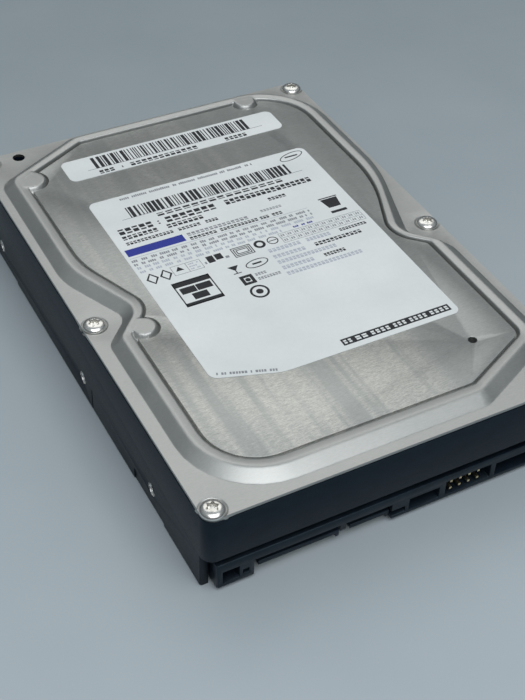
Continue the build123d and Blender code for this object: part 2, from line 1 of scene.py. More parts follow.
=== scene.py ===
import json
import math
import random

import bmesh
import bpy
from mathutils import Matrix, Vector
from mathutils.geometry import delaunay_2d_cdt


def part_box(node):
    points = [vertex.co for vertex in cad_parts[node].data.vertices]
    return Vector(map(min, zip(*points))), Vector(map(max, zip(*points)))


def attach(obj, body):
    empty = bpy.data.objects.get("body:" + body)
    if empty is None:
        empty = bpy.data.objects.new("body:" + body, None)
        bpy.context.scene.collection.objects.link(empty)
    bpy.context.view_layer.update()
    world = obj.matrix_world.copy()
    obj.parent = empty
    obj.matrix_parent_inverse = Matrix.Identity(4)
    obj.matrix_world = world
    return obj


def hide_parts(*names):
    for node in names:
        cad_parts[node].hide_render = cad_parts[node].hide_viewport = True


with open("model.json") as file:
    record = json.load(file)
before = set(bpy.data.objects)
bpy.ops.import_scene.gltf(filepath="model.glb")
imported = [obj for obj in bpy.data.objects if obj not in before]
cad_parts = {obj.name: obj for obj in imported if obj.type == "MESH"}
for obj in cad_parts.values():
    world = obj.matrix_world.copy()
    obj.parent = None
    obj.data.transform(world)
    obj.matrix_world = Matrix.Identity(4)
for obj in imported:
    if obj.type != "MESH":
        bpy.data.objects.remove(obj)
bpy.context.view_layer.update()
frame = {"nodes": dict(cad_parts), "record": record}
NODES = frame["nodes"]
MM = 0.001

# ---- Sizes, in millimetres, in the CAD's frame ----
FLANGE_TOP = 24.2
SHEET = 0.8
TRAY_TOP = 24.5
LABEL_TOP = 25.4
BREATHER = (30.8, -51.2)
DATUM_HOLE = (-39.3, 70.1)
DATUM_R = 1.7
# The dished seat round each cover screw: its depth, its flat floor's radius, its slope's width
SEAT_DEPTH = 0.25
SEAT_FLOOR_R = 2.95
SEAT_SLOPE = 0.5
SEAT_CIRCLES = (2.9, 3.05, 3.2, 3.35, 3.5)
CORNER_R = 3.0
RIM_INSET = 0.2
SCREW_HOLE_R = 1.5
BREATHER_R = 1.1
COVER_SCREWS = (
    (-47.8, -70.6), (47.8, -70.6), (-47.6, -5.8), (47.6, -5.8), (-47.9, 70.1), (47.9, 70.1)
)
SIDE_HOLES_Y = (-45.0, -3.39, 56.6)
SIDE_HOLE_Z = 6.35
BOARD_BOTTOM = 2.2
BOARD_SCREWS = ((-40, -56), (40, -56), (-40, 6), (39.5, 46), (17, -9))
# Packages under the board: x, y, size along X and Y, leads on each of the sides that face X and Y
PACKAGES = (
    (-6, -30, 20, 20, 32, 32),
    (-29, -30, 10.2, 22.2, 0, 12),
    (28, -22, 10, 10, 14, 14),
    (-6, -8, 5.2, 6, 4, 0),
)
# Length, width and height of the small parts with metal ends, then every one's x, y and size
CAPACITOR = (2.0, 1.25, 1.0)
DIODE = (4.3, 2.6, 0.9)
CAPPED_PARTS = (
    [(14 + 4 * i, -42, *CAPACITOR) for i in range(5)]
    + [(-38, -48 + 6 * i, *CAPACITOR) for i in range(6)]
    + [(x, -55, *DIODE) for x in (-28, -20, -12)]
)
LEAD_PITCH_SHARE = 0.92
LEAD_DROP = 0.62
# A lead's bends: how far out from its package, and how far below the board
LEAD_BENDS = (
    (-0.1, LEAD_DROP), (0.3, LEAD_DROP), (0.4, LEAD_DROP - 0.06), (0.62, 0.13), (0.72, 0.08), (1.1, 0.08)
)
# How far out a lead's solder pad starts and ends, and its height
LAND_START, LAND_END, LAND_HEIGHT = 0.6, 1.35, 0.05
TRACK_HEIGHT = 0.03
VIA_HEIGHT = 0.035
MASK_GAP = 0.001
BOTTOM_HOLES = ((47.625, -32.22), (47.625, 12.23), (-47.625, -32.22), (-47.625, 12.23))
# Corners of the ridge: x, y and rounding at its outer foot, then at the sunk plate's edge
RIDGE_CORNERS = (
    (-47.5, -70.8, 20.0, -40.7, -63.5, 13.0),
    (22.3, -70.8, 8.0, 22.4, -63.5, 1.5),
    (48.3, -58.3, 9.0, 42.1, -54.0, 3.0),
    (48.3, -17.0, 5.0, 42.1, -14.3, 2.0),
    (40.6, -7.3, 4.0, 34.4, -6.9, 9.0),
    (49.8, 21.8, 50.0, 44.0, 15.8, 50.0),
    (49.8, 73.0, 20.0, 44.0, 67.6, 15.0),
    (-22.7, 73.0, 8.0, -21.6, 67.6, 1.5),
    (-48.5, 59.2, 6.0, -41.8, 56.9, 1.5),
    (-48.7, 12.7, 20.0, -41.8, 16.6, 30.0),
    (-40.0, -6.4, 4.0, -32.8, -5.8, 7.5),
    (-47.4, -14.2, 5.0, -40.6, -14.2, 1.5),
)
# Round bulges of the ridge: x, y and radius
RIDGE_PADS = ((-37.8, -12.9, 3.7), (-40.7, 56.0, 4.4), (30.4, 67.6, 3.7))
PAD_TOP = 26.02
PAD_ROUNDING = 1.0
PAD_REACH = 1.1
PAD_BLEND = 0.3
# The pressed ridge's section: share of the way from foot to plate edge, height
RIDGE_SECTION = (
    (0.0, 24.2), (0.02, 24.215), (0.045, 24.29), (0.08, 24.44), (0.25, 25.12), (0.42, 25.8), (0.455, 25.93),
    (0.49, 26.03), (0.53, 26.085), (0.57, 26.1), (0.62, 26.08), (0.7, 26.0), (0.8, 25.89), (0.84, 25.83),
    (0.87, 25.7), (0.89, 25.42), (0.91, 25.05), (0.93, 24.75), (0.95, 24.6), (0.975, 24.52), (1.0, 24.5),
)


# ---- Mesh helpers ----
def to_object(name, bm, material, body="chassis", smooth=None):
    """Turns a bmesh in millimetres into a piece that rides on a body."""
    bmesh.ops.scale(bm, vec=(MM, MM, MM), verts=bm.verts)
    bmesh.ops.recalc_face_normals(bm, faces=bm.faces)
    mesh = bpy.data.meshes.new(name)
    bm.to_mesh(mesh)
    bm.free()
    piece = bpy.data.objects.new(name, mesh)
    bpy.context.scene.collection.objects.link(piece)
    mesh.materials.append(material)
    if smooth is not None:
        mesh.shade_smooth()
        mesh.set_sharp_from_angle(angle=math.radians(smooth))
    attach(piece, body)
    return piece


def apply_modifiers(piece, smooth):
    graph = bpy.context.evaluated_depsgraph_get()
    mesh = bpy.data.meshes.new_from_object(piece.evaluated_get(graph))
    piece.modifiers.clear()
    piece.data = mesh
    mesh.shade_smooth()
    mesh.set_sharp_from_angle(angle=math.radians(smooth))
    return piece


def rounded_outline(corners, arc_steps=8, side_steps=6):
    """Points round a closed outline of x, y, rounding corners, the same number from every corner."""
    count = len(corners)
    arcs = []
    for index in range(count):
        before, corner, after = (Vector(corners[(index + k) % count][:2]) for k in (-1, 0, 1))
        a, b = (before - corner).normalized(), (after - corner).normalized()
        half = a.angle(b) / 2
        r = corners[index][2]
        middle = corner + (a + b).normalized() * (r / math.sin(half))
        first, last = (corner + way * (r / math.tan(half)) - middle for way in (a, b))
        turn = math.atan2(first.x * last.y - first.y * last.x, first.dot(last))
        arcs.append([middle + Matrix.Rotation(turn * k / arc_steps, 2) @ first for k in range(arc_steps + 1)])
    points = []
    for index, arc in enumerate(arcs):
        following = arcs[(index + 1) % count][0]
        points += arc
        points += [arc[-1].lerp(following, k / side_steps) for k in range(1, side_steps)]
    return points


def circle(x, y, r, steps=32):
    return [Vector((x + r * math.cos(2 * math.pi * k / steps), y + r * math.sin(2 * math.pi * k / steps)))
            for k in range(steps)]


def ridge_outline(t):
    return [
        (fx + (px - fx) * t, fy + (py - fy) * t, fr + (pr - fr) * t)
        for fx, fy, fr, px, py, pr in RIDGE_CORNERS
    ]


def inside(point, loop):
    x, y = point
    crossings = 0
    for a, b in zip(loop, loop[1:] + loop[:1]):
        if (a.y > y) != (b.y > y) and x < a.x + (y - a.y) * (b.x - a.x) / (b.y - a.y):
            crossings += 1
    return crossings % 2 == 1


def fill(bm, outer, holes, lines, height):
    """Triangles between an outer loop and its holes, with extra loops of edges, at height(x, y)."""
    points, edges = [], []
    for loop in [outer] + holes + lines:
        start = len(points)
        points += loop
        edges += [(start + k, start + (k + 1) % len(loop)) for k in range(len(loop))]
    flat, _, faces, _, _, _ = delaunay_2d_cdt(points, edges, [], 0, 1e-5)
    verts = [bm.verts.new((p.x, p.y, height(p.x, p.y))) for p in flat]
    for corners in faces:
        middle = sum((flat[k] for k in corners), Vector((0, 0))) / len(corners)
        if inside(middle, outer) and not any(inside(middle, hole) for hole in holes):
            bm.faces.new([verts[k] for k in corners])
    loose = [v for v in verts if not v.link_faces]
    bmesh.ops.delete(bm, geom=loose, context="VERTS")


def bridge(bm, rings):
    """Quads between rings of the same number of points."""
    rows = [[bm.verts.new(p) for p in ring] for ring in rings]
    for low, high in zip(rows, rows[1:]):
        for k in range(len(low)):
            after = (k + 1) % len(low)
            bm.faces.new((low[k], low[after], high[after], high[k]))
    return rows


def capped_bridge(bm, rings):
    """A closed solid through rings of the same number of points."""
    rows = bridge(bm, rings)
    bm.faces.new(rows[0])
    bm.faces.new(rows[-1])


def lathe(bm, profile, x, y, steps):
    """An open band of revolution about Z, from points of radius and height."""
    bridge(bm, [[(*p, z) for p in circle(x, y, r, steps)] for r, z in profile])


# ---- Materials ----
class Look:
    """One node-based material. Every texture reads the object's own coordinates, in millimetres."""

    def __init__(self, name, **constants):
        self.material = bpy.data.materials.new(name)
        self.material.use_nodes = True
        self.nodes = self.material.node_tree.nodes
        self.links = self.material.node_tree.links
        self.shader = self.nodes["Principled BSDF"]
        self.coordinates = self.nodes.new("ShaderNodeTexCoord").outputs["Object"]
        for socket, value in constants.items():
            self.shader.inputs[socket.replace("_", " ")].default_value = value

    def put(self, node, socket, value):
        """Links a socket to another's output, or sets it to a number."""
        if hasattr(value, "links"):
            self.links.new(value, node.inputs[socket])
        else:
            node.inputs[socket].default_value = value

    def mapped(self, scale, turn=0.0):
        """The object's coordinates in millimetres times scale, turned about Z by degrees."""
        node = self.nodes.new("ShaderNodeMapping")
        node.inputs["Scale"].default_value = [s / MM for s in scale]
        node.inputs["Rotation"].default_value = (0, 0, math.radians(turn))
        self.links.new(self.coordinates, node.inputs["Vector"])
        return node.outputs["Vector"]

    def noise(self, scale, detail=3.0, roughness=0.55, turn=0.0, distortion=0.0):
        """Noise whose features repeat scale times per millimetre along X, Y and Z."""
        node = self.nodes.new("ShaderNodeTexNoise")
        self.links.new(self.mapped(scale, turn), node.inputs["Vector"])
        node.inputs["Scale"].default_value = 1.0
        node.inputs["Detail"].default_value = detail
        node.inputs["Roughness"].default_value = roughness
        node.inputs["Distortion"].default_value = distortion
        return node.outputs["Fac"]

    def cells(self, scale):
        """Distance to the nearest of scattered points, scale of them per millimetre."""
        node = self.nodes.new("ShaderNodeTexVoronoi")
        self.links.new(self.mapped(scale), node.inputs["Vector"])
        node.inputs["Scale"].default_value = 1.0
        return node.outputs["Distance"]

    def span(self, value, low, high, start=0.0, end=1.0):
        """Maps low to start and high to end, and stops there."""
        node = self.nodes.new("ShaderNodeMapRange")
        self.links.new(value, node.inputs["Value"])
        node.inputs["From Min"].default_value = low
        node.inputs["From Max"].default_value = high
        node.inputs["To Min"].default_value = start
        node.inputs["To Max"].default_value = end
        return node.outputs["Result"]

    def math(self, operation, a, b):
        node = self.nodes.new("ShaderNodeMath")
        node.operation = operation
        self.put(node, 0, a)
        self.put(node, 1, b)
        return node.outputs["Value"]

    def axis(self, name):
        node = self.nodes.new("ShaderNodeSeparateXYZ")
        self.links.new(self.mapped((1, 1, 1)), node.inputs["Vector"])
        return node.outputs[name]

    def colour(self, factor, dark, light):
        """A mix of two colours, each a triple or a socket."""
        node = self.nodes.new("ShaderNodeMix")
        node.data_type = "RGBA"
        self.links.new(factor, node.inputs[0])
        for index, value in ((6, dark), (7, light)):
            if hasattr(value, "links"):
                self.links.new(value, node.inputs[index])
            else:
                node.inputs[index].default_value = (*value, 1)
        return node.outputs[2]

    def bump(self, height, distance, under=None):
        """A bump of distance millimetres, on top of the one under it."""
        node = self.nodes.new("ShaderNodeBump")
        self.links.new(height, node.inputs["Height"])
        node.inputs["Distance"].default_value = distance * MM
        node.inputs["Strength"].default_value = 1.0
        if under is not None:
            self.links.new(under, node.inputs["Normal"])
        return node.outputs["Normal"]

    def finish(self, colour=None, roughness=None, normal=None):
        for socket, value in (("Base Color", colour), ("Roughness", roughness), ("Normal", normal)):
            if value is not None:
                self.links.new(value, self.shader.inputs[socket])
        return self.material


def brushed(name, dark, light, low, high, grain, turn=0.0, bump=0.004):
    """Rolled or brushed metal: fine scratches one way, with blotches where it was handled."""
    look = Look(name, Metallic=1.0)
    strokes = look.noise(grain, detail=5, roughness=0.7, turn=turn)
    blotches = look.noise((0.06, 0.06, 0.06), detail=4)
    tone = look.math("ADD", look.math("MULTIPLY", strokes, 0.55), look.math("MULTIPLY", blotches, 0.45))
    colour = look.colour(look.span(tone, 0.35, 0.65), dark, light)
    roughness = look.span(look.math("ADD", strokes, blotches), 0.7, 1.3, low, high)
    return look.finish(colour, roughness, look.bump(strokes, bump))


def turned(name, dark, light, low, high, rings=6.0):
    """Machined metal with tool rings about the vertical and a light haze."""
    look = Look(name, Metallic=1.0)
    haze = look.noise((0.3, 0.3, 0.3), detail=4)
    fine = look.noise((rings, rings, rings * 2), detail=6, roughness=0.75)
    colour = look.colour(look.span(haze, 0.3, 0.7), dark, light)
    return look.finish(colour, look.span(fine, 0.3, 0.7, low, high), look.bump(fine, 0.002))


def moulded(name, dark, light, low, high, grain=3.0, bump=0.006, **constants):
    """Moulded plastic or rubber: fine pebbled skin with faint flow marks."""
    look = Look(name, **constants)
    skin = look.noise((grain, grain, grain), detail=4, roughness=0.6)
    flow = look.noise((0.08, 0.25, 0.2), detail=3)
    colour = look.colour(look.span(flow, 0.3, 0.7), dark, light)
    roughness = look.span(look.math("ADD", skin, flow), 0.7, 1.3, low, high)
    return look.finish(colour, roughness, look.bump(skin, bump))


def plate_steel():
    """Damping plate: short cross-brushed strokes, with painted reflections as bright wavy stripes across
    them, strongest on the left and towards -Y.
    """
    look = Look("plate_steel", Metallic=1.0)
    strokes = look.noise((0.7, 4.5, 1), detail=4, roughness=0.65)
    fine = look.noise((2.5, 7.0, 1), detail=4, roughness=0.7)
    # Painted reflection: wavy stripes across the grain that stand in for the soft light mirrored in the
    # plate.
    reflection_streaks = look.noise((0.16, 0.012, 0.01), detail=2.0, roughness=0.5, turn=-4, distortion=0.15)
    narrow_reflection_streaks = look.noise((0.5, 0.02, 0.01), detail=2.0, turn=-4)
    reflection_stripes = look.math("ADD", look.math("MULTIPLY", reflection_streaks, 0.65), look.math("MULTIPLY", narrow_reflection_streaks, 0.35))
    grain = look.math("ADD", look.math("MULTIPLY", strokes, 0.55), look.math("MULTIPLY", fine, 0.45))
    # Masks that place the painted reflection: strongest left of x = 14 mm, fading to the right, and strongest
    # towards -Y.
    left = look.span(look.axis("X"), 14.0, 21.0, 1.0, 0.0)
    near = look.span(look.axis("Y"), 10.0, -45.0, 0.45, 1.0)
    painted_reflection = look.math("MULTIPLY", look.span(reflection_stripes, 0.42, 0.56), look.math("MULTIPLY", left, near))
    # The lighter, warm colour is the painted reflection's highlight; the darker one is the plate's own grey.
    tone = look.colour(painted_reflection, (0.47, 0.485, 0.475), (0.70, 0.69, 0.645))
    colour = look.colour(look.span(grain, 0.36, 0.62, 0.0, 1.0), (0.35, 0.36, 0.35), tone)
    return look.finish(colour, look.span(grain, 0.3, 0.7, 0.38, 0.5), look.bump(grain, 0.012))


def casting_paint():
    """Black electrocoat over a die casting: satin, with the casting's faint unevenness."""
    look = Look("casting_paint", Specular_IOR_Level=0.27, Specular_Tint=(0.62, 0.84, 1.0, 1.0))
    grit = look.noise((4.0, 4.0, 4.0), detail=4)
    cast = look.noise((0.25, 0.25, 0.4), detail=3)
    dust = look.cells((2.2, 2.2, 2.2))
    colour = look.colour(look.span(cast, 0.3, 0.7), (0.0014, 0.0040, 0.0088), (0.0034, 0.0075, 0.0145))
    colour = look.colour(look.span(dust, 0.0, 0.06, 0.25, 0.0), colour, (0.04, 0.046, 0.055))
    roughness = look.span(grit, 0.3, 0.7, 0.34, 0.5)
    uneven = look.bump(cast, 0.03)
    return look.finish(colour, roughness, look.bump(grit, 0.008, under=uneven))


def label_paper():
    look = Look("label_paper", Specular_IOR_Level=0.35, Coat_Weight=0.08, Coat_Roughness=0.35)
    fibre = look.noise((1.2, 0.9, 1), detail=5, roughness=0.6)
    smudge = look.noise((0.045, 0.06, 1), detail=3, roughness=0.5)
    colour = look.colour(look.span(smudge, 0.3, 0.75), (0.70, 0.735, 0.735), (0.80, 0.825, 0.82))
    colour = look.colour(look.span(fibre, 0.35, 0.65, 0.0, 0.12), colour, (0.62, 0.65, 0.66))
    return look.finish(colour, look.span(fibre, 0.3, 0.7, 0.42, 0.55), look.bump(fibre, 0.003))


def ink(name, dark, light):
    look = Look(name, Specular_IOR_Level=0.3)
    speckle = look.noise((5.0, 5.0, 1), detail=4)
    colour = look.colour(look.span(speckle, 0.35, 0.65), dark, light)
    return look.finish(colour, look.span(speckle, 0.3, 0.7, 0.5, 0.65), None)


def solder_mask(name, dark, light):
    look = Look(name, Specular_IOR_Level=0.5, Coat_Weight=0.5, Coat_Roughness=0.12)
    weave = look.noise((2.5, 0.4, 1), detail=3)
    cross = look.noise((0.4, 2.5, 1), detail=3)
    fabric = look.math("MULTIPLY", weave, cross)
    colour = look.colour(look.span(fabric, 0.15, 0.35), dark, light)
    return look.finish(colour, look.span(fabric, 0.15, 0.35, 0.25, 0.4), look.bump(fabric, 0.006))


def woven(name, dark, light):
    look = Look(name, Sheen_Weight=0.3)
    threads = look.math("MULTIPLY", look.noise((6, 0.8, 6), detail=2), look.noise((0.8, 6, 0.8), detail=2))
    colour = look.colour(look.span(threads, 0.15, 0.4), dark, light)
    return look.finish(colour, look.span(threads, 0.15, 0.4, 0.8, 0.95), look.bump(threads, 0.05))


def winding():
    look = Look("copper_wire", Metallic=1.0, Coat_Weight=0.6)
    turns = look.noise((0.3, 0.3, 5.0), detail=1)
    colour = look.colour(look.span(turns, 0.35, 0.65), (0.35, 0.10, 0.035), (0.78, 0.33, 0.13))
    return look.finish(colour, look.span(turns, 0.35, 0.65, 0.4, 0.22), look.bump(turns, 0.05))


def disc_mirror():
    look = Look("disc_mirror", Metallic=1.0)
    haze = look.noise((0.05, 0.05, 0.05), detail=3)
    colour = look.colour(look.span(haze, 0.3, 0.7), (0.70, 0.71, 0.74), (0.78, 0.79, 0.81))
    return look.finish(colour, look.span(haze, 0.3, 0.7, 0.04, 0.08), None)


def connector_nylon():
    look = Look("connector_plastic", Specular_IOR_Level=0.4, Specular_Tint=(0.65, 0.86, 1.0, 1.0))
    fibres = look.noise((3.0, 0.8, 3.0), detail=5, roughness=0.65)
    flow = look.noise((0.15, 0.15, 0.3), detail=2)
    colour = look.colour(look.span(flow, 0.3, 0.7), (0.0030, 0.0060, 0.0100), (0.0070, 0.0120, 0.0190))
    return look.finish(colour, look.span(fibres, 0.3, 0.7, 0.28, 0.42), look.bump(fibres, 0.005))


MATERIALS = {
    "casting_paint": casting_paint(),
    "cover_steel": brushed(
        "cover_steel", (0.40, 0.41, 0.40), (0.50, 0.505, 0.49), 0.40, 0.48, (0.8, 4.0, 2.0)
    ),
    "plate_steel": plate_steel(),
    "gasket_rubber": moulded("gasket_rubber", (0.012, 0.012, 0.012), (0.03, 0.03, 0.03), 0.6, 0.8),
    "screw_steel": turned("screw_steel", (0.62, 0.61, 0.58), (0.78, 0.77, 0.74), 0.16, 0.30, 3.0),
    "label_paper": label_paper(),
    "filter_cloth": woven("filter_cloth", (0.45, 0.45, 0.43), (0.85, 0.85, 0.82)),
    "motor_alloy": turned("motor_alloy", (0.50, 0.51, 0.52), (0.68, 0.69, 0.70), 0.25, 0.4),
    "sleeve_bronze": turned("sleeve_bronze", (0.45, 0.28, 0.12), (0.62, 0.42, 0.20), 0.25, 0.4),
    "lamination": brushed("lamination", (0.05, 0.05, 0.055), (0.12, 0.12, 0.13), 0.35, 0.5, (0.3, 0.3, 7.0)),
    "copper_wire": winding(),
    "magnet_plate": turned("magnet_plate", (0.55, 0.54, 0.51), (0.70, 0.69, 0.66), 0.15, 0.3, 2.0),
    "polyimide": moulded("polyimide", (0.30, 0.11, 0.012), (0.52, 0.23, 0.035), 0.2, 0.35, 0.8, 0.003),
    "disc_mirror": disc_mirror(),
    "hub_alloy": turned("hub_alloy", (0.60, 0.61, 0.62), (0.75, 0.76, 0.77), 0.2, 0.35),
    "clamp_steel": brushed("clamp_steel", (0.45, 0.45, 0.45), (0.60, 0.60, 0.60), 0.25, 0.4, (0.5, 4.0, 2.0)),
    "arm_alloy": turned("arm_alloy", (0.58, 0.59, 0.60), (0.72, 0.73, 0.74), 0.25, 0.4, 4.0),
    "blade_steel": brushed("blade_steel", (0.52, 0.52, 0.53), (0.68, 0.68, 0.68), 0.18, 0.3, (4.0, 0.5, 2.0)),
    "slider_ceramic": moulded(
        "slider_ceramic", (0.05, 0.05, 0.055), (0.11, 0.11, 0.12), 0.15, 0.3, 8.0, 0.001
    ),
    "chip_black": moulded("chip_black", (0.014, 0.014, 0.015), (0.030, 0.030, 0.032), 0.45, 0.62, 6.0, 0.01),
    "bracket_plastic": moulded("bracket_plastic", (0.03, 0.03, 0.033), (0.07, 0.07, 0.075), 0.4, 0.55),
    "yoke_steel": turned("yoke_steel", (0.42, 0.42, 0.43), (0.55, 0.55, 0.56), 0.22, 0.38, 2.0),
    "stop_rubber": moulded("stop_rubber", (0.02, 0.02, 0.02), (0.05, 0.05, 0.05), 0.6, 0.8),
    "pin_steel": turned("pin_steel", (0.60, 0.60, 0.60), (0.74, 0.74, 0.74), 0.12, 0.25, 8.0),
    "latch_plastic": moulded("latch_plastic", (0.58, 0.55, 0.46), (0.74, 0.71, 0.62), 0.35, 0.5),
    "board_green": solder_mask("board_green", (0.006, 0.055, 0.022), (0.010, 0.090, 0.036)),
    "foam": moulded("foam", (0.02, 0.02, 0.02), (0.06, 0.06, 0.06), 0.85, 0.95, 2.5, 0.12),
    "crystal_can": turned("crystal_can", (0.58, 0.57, 0.54), (0.72, 0.71, 0.68), 0.18, 0.32, 2.0),
    "capacitor_ceramic": moulded("capacitor_ceramic", (0.30, 0.19, 0.11), (0.44, 0.31, 0.20), 0.3, 0.45, 4.0),
    "inductor_ferrite": moulded(
        "inductor_ferrite", (0.035, 0.035, 0.038), (0.07, 0.07, 0.075), 0.4, 0.6, 4.0
    ),
    "diode_black": moulded("diode_black", (0.018, 0.018, 0.018), (0.035, 0.035, 0.035), 0.4, 0.55, 5.0),
    "connector_plastic": connector_nylon(),
    "contact_gold": turned("contact_gold", (0.80, 0.62, 0.34), (0.95, 0.82, 0.55), 0.22, 0.36, 4.0),
}
BREATHER_CLOTH = woven("breather_cloth", (0.010, 0.010, 0.010), (0.035, 0.035, 0.035))
BARE_ALLOY = turned("bare_alloy", (0.62, 0.62, 0.61), (0.80, 0.80, 0.78), 0.2, 0.34, 5.0)
SOLDER = turned("solder", (0.55, 0.55, 0.56), (0.72, 0.72, 0.73), 0.2, 0.4, 3.0)
TRACE_MASK = solder_mask("trace_mask", (0.016, 0.125, 0.050), (0.026, 0.17, 0.070))
BLACK_INK = ink("black_ink", (0.010, 0.011, 0.014), (0.030, 0.032, 0.036))
GREY_INK = ink("grey_ink", (0.20, 0.21, 0.23), (0.32, 0.33, 0.36))
PALE_INK = ink("pale_ink", (0.40, 0.43, 0.50), (0.52, 0.55, 0.61))
BLUE_INK = ink("blue_ink", (0.018, 0.030, 0.26), (0.035, 0.050, 0.34))


def dress_nodes():
    """Every CAD node takes the material of its slot in the record."""
    for row in frame["record"]["subparts"]:
        node = NODES[row["node"]]
        node.data.materials.clear()
        node.data.materials.append(MATERIALS[row["material_slot"]])
    NODES["breather_filter"].data.materials[0] = BREATHER_CLOTH


def refined(node, width, body="chassis", limit=35.0, segments=2):
    """A copy of a CAD node with its sharp edges rounded to width, in millimetres."""
    source = NODES[node]
    bm = bmesh.new()
    bm.from_mesh(source.data)
    bmesh.ops.remove_doubles(bm, verts=bm.verts, dist=2e-6)
    bmesh.ops.dissolve_limit(
        bm, angle_limit=math.radians(0.4), verts=bm.verts, edges=bm.edges, delimit={"NORMAL"}
    )
    bmesh.ops.scale(bm, vec=(1 / MM, 1 / MM, 1 / MM), verts=bm.verts)
    piece = to_object(node + "_detail", bm, source.data.materials[0], body)
    edges = piece.modifiers.new("edges", "BEVEL")
    edges.width = width * MM
    edges.segments = segments
    edges.limit_method = "ANGLE"
    edges.angle_limit = math.radians(limit)
    edges.use_clamp_overlap = True
    apply_modifiers(piece, limit)
    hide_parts(node)


# ---- Pieces ----
def flange_height(x, y):
    """The flange is flat but for a shallow dished seat round each screw."""
    near = min(math.hypot(x - sx, y - sy) for sx, sy in COVER_SCREWS)
    rise = min(max((near - SEAT_FLOOR_R) / SEAT_SLOPE, 0.0), 1.0)
    return FLANGE_TOP - SEAT_DEPTH * (1 - rise * rise * (3 - 2 * rise))


def refine_near(bm, places, longest, margin=1.2):
    """Splits the edges that pass within margin of round places until none is longer than longest."""
    for _ in range(10):
        long_edges = []
        for edge in bm.edges:
            a, b = (v.co.xy for v in edge.verts)
            run = b - a
            if run.length <= longest:
                continue
            for x, y, r in places:
                share = min(max((Vector((x, y)) - a).dot(run) / run.length_squared, 0.0), 1.0)
                if (a + run * share - Vector((x, y))).length < r + margin:
                    long_edges.append(edge)
                    break
        if not long_edges:
            break
        bmesh.ops.subdivide_edges(bm, edges=long_edges, cuts=1)
        bmesh.ops.triangulate(bm, faces=[f for f in bm.faces if len(f.verts) > 4])


def raise_pads(bm):
    """Round bulges of the ridge that reach into the plate, blended into it."""
    refine_near(bm, RIDGE_PADS, 0.45)
    for vert in bm.verts:
        for x, y, r in RIDGE_PADS:
            beyond = math.hypot(vert.co.x - x, vert.co.y - y) - (r - PAD_ROUNDING)
            if beyond < PAD_ROUNDING + PAD_REACH:
                pad = PAD_TOP - 1.5 * (max(beyond, 0.0) / PAD_ROUNDING) ** 2
                blend = math.sqrt((vert.co.z - pad) ** 2 + PAD_BLEND ** 2)
                vert.co.z = max(vert.co.z, min((vert.co.z + pad + blend) / 2, PAD_TOP + 0.04))


def pressed_cover():
    """The cover as one pressed sheet: flange with dished seats, ridge, sunk middle and ridge pads."""
    bm = bmesh.new()
    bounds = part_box("top_cover")
    half_w, half_l = bounds[1].x / MM - RIM_INSET, bounds[1].y / MM - RIM_INSET
    rim = [(-half_w, -half_l, CORNER_R), (half_w, -half_l, CORNER_R),
           (half_w, half_l, CORNER_R), (-half_w, half_l, CORNER_R)]
    foot = rounded_outline(ridge_outline(0))
    holes = [circle(x, y, SCREW_HOLE_R, 24) for x, y in COVER_SCREWS]
    holes.append(circle(*DATUM_HOLE, DATUM_R))
    seats = [circle(x, y, r) for x, y in COVER_SCREWS for r in SEAT_CIRCLES]
    fill(bm, rounded_outline(rim, 8, 24), [foot] + holes, seats, flange_height)
    rings = [[(p.x, p.y, z) for p in rounded_outline(ridge_outline(t))] for t, z in RIDGE_SECTION]
    bridge(bm, rings)
    breather = circle(*BREATHER, BREATHER_R, 24)
    fill(bm, rounded_outline(ridge_outline(1)), [breather], [], lambda x, y: TRAY_TOP)
    bmesh.ops.remove_doubles(bm, verts=bm.verts, dist=1e-3)
    raise_pads(bm)
    cover = to_object("pressed_cover", bm, MATERIALS["cover_steel"])
    if cover.data.polygons[0].normal.z < 0:
        cover.data.flip_normals()
    sheet = cover.modifiers.new("sheet", "SOLIDIFY")
    sheet.thickness = SHEET * MM
    sheet.offset = -1
    edges = cover.modifiers.new("edges", "BEVEL")
    edges.width = 0.16 * MM
    edges.segments = 2
    edges.limit_method = "ANGLE"
    edges.angle_limit = math.radians(60)
    apply_modifiers(cover, 50)
    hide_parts("top_cover")


# A cover screw's head radius and height, and its shank's radius and length
PAN_HEAD = (2.9, 1.3, 1.25, 9.5)
BOARD_PAN_HEAD = (2.4, 1.0, 1.0, 4.6)


def star_radius(angle, inner, lobe):
    """Radius of a six-lobed star."""
    return inner + lobe * (0.5 + 0.5 * math.cos(6 * angle)) ** 0.8


def pan_screw(bm, x, y, seat, head_r, head_h, shank_r, length, up=1, steps=60):
    """A pan head screw with a six-lobed recess and a helical thread."""
    scale = head_r / PAN_HEAD[0]
    turns = [2 * math.pi * k / steps for k in range(steps)]

    def ring(radius, z):
        return [(x + radius(a) * math.cos(a), y + radius(a) * math.sin(a), seat + up * z) for a in turns]

    head = [(0.97, 0.0), (1.0, 0.05), (1.0, 0.2), (0.985, 0.32), (0.95, 0.47), (0.89, 0.62), (0.81, 0.75),
            (0.71, 0.86), (0.6, 0.93), (0.5, 0.965)]
    rings = [ring(lambda a, r=r: head_r * r, head_h * z) for r, z in head]
    for inner, lobe, z in ((1.06, 0.36, 0.98), (1.0, 0.36, 0.93), (0.94, 0.35, 0.82), (0.9, 0.33, 0.3)):
        rings.append(ring(lambda a: scale * star_radius(a, inner, lobe), head_h * z))
    rings.append(ring(lambda a: 0.3 * scale, head_h * 0.2))
    rows = bridge(bm, rings)
    bm.faces.new(rows[-1])
    pitch = 0.6
    depth, levels = 0.09, 48

    def thread(angle, z):
        return shank_r - depth + depth * math.cos(angle - 2 * math.pi * z / pitch)

    heights = [length * k / levels for k in range(levels + 1)]
    shank = [ring(lambda a, z=z: thread(a, z), -z) for z in heights]
    under = bridge(bm, [ring(lambda a: head_r * head[0][0], 0.0)] + shank)
    bm.faces.new(under[-1])
    bmesh.ops.remove_doubles(bm, verts=rows[0] + under[0], dist=1e-4)


